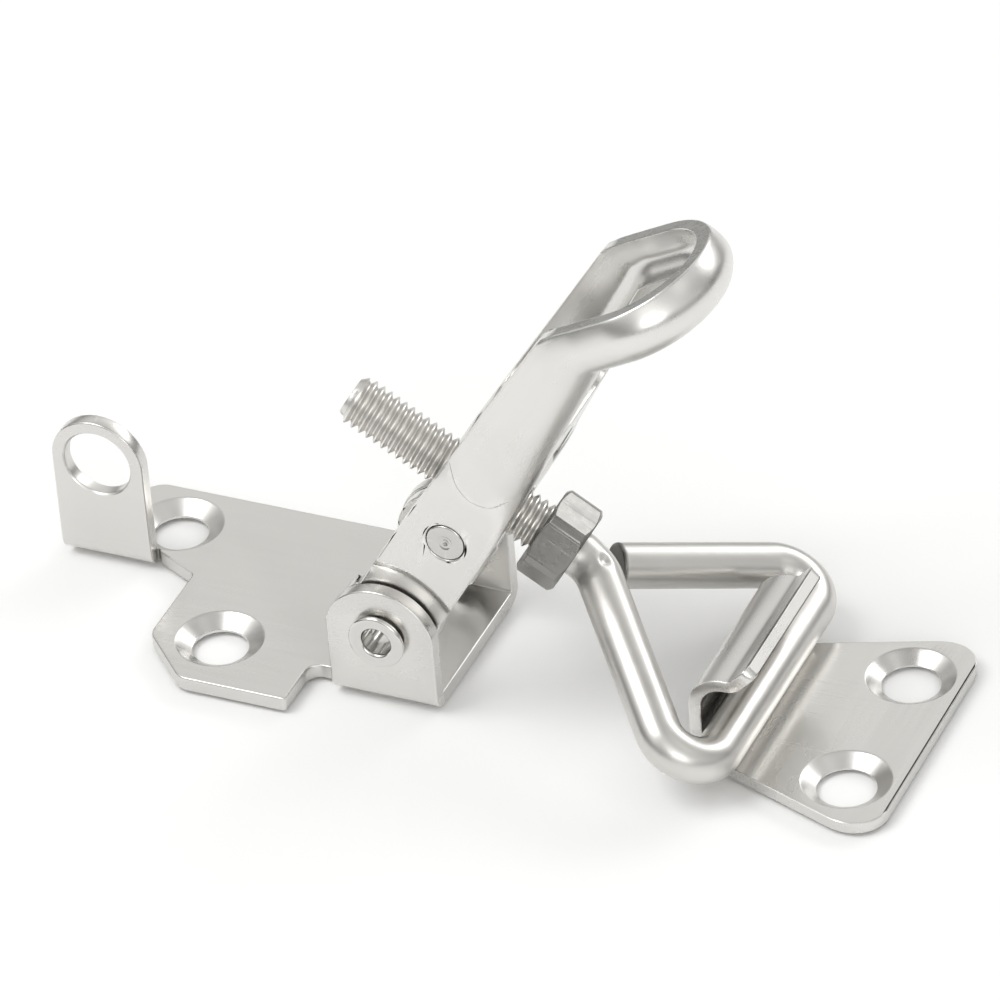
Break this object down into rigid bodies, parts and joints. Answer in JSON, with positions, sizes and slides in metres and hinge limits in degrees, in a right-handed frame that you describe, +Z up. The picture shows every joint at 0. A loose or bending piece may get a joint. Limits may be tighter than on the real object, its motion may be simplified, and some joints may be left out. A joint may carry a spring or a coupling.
{
  "type": "toggle bolt latch",
  "caption": "Adjustable over-centre toggle latch with a pressed lever, a threaded wire hook, a padlock eye on the base and a lipped keeper plate.",
  "frame": {"origin": "on the underside of the base plate, directly below the lever's pivot, on the centre line", "axes": "+X from the padlock eye towards the keeper, +Y along the pivot towards the padlock eye's side, +Z up off the mounting surface"},
  "size_m": [0.1082, 0.0405, 0.0616],
  "materials": {
    "base_steel": "satin stainless steel sheet",
    "handle_steel": "polished stainless steel pressing",
    "rivet_steel": "polished stainless steel",
    "trunnion_steel": "turned stainless steel",
    "bolt_steel": "drawn stainless steel wire, threaded end",
    "nut_steel": "machined stainless steel",
    "keeper_steel": "satin stainless steel sheet"
  },
  "bodies": {
    "base": {"base_plate": "base_steel", "pivot_rivet_front": "rivet_steel", "pivot_rivet_rear": "rivet_steel"},
    "lever": {"handle": "handle_steel"},
    "swivel": {"trunnion": "trunnion_steel"},
    "hook": {"hook_bolt": "bolt_steel"},
    "nut": {"lock_nut": "nut_steel"},
    "catch": {"keeper": "keeper_steel"}
  },
  "joints": [
    {"name": "handle_pivot", "type": "hinge", "parent": "base", "child": "lever", "pos_m": [0, 0, 0.0092], "axis": [0, -1, 0], "range_deg": [0, 120]},
    {"name": "trunnion_swivel", "type": "hinge", "parent": "lever", "child": "swivel", "pos_m": [0.00888, 0, 0.02393], "axis": [0, -1, 0], "range_deg": [-95, 0]},
    {"name": "hook_adjust", "type": "slide", "parent": "swivel", "child": "hook", "axis": [0.8572, 0, -0.515], "range_m": [0, 0.00882]},
    {"name": "lock_nut_spin", "type": "hinge", "parent": "hook", "child": "nut", "pos_m": [0.00888, 0, 0.02393], "axis": [0.8572, 0, -0.515], "continuous": true},
    {"name": "keeper_swing", "type": "hinge", "parent": "hook", "child": "catch", "pos_m": [0.04129, 0, 0.00446], "axis": [0, -1, 0], "range_deg": [-25.4, 0]}
  ],
  "couplings": [
    {"joint": "trunnion_swivel", "follows": "handle_pivot", "ratio": -0.79},
    {"joint": "hook_adjust", "follows": "handle_pivot", "m_per_rad": 0.0042017},
    {"joint": "keeper_swing", "follows": "handle_pivot", "ratio": -0.21}
  ]
}
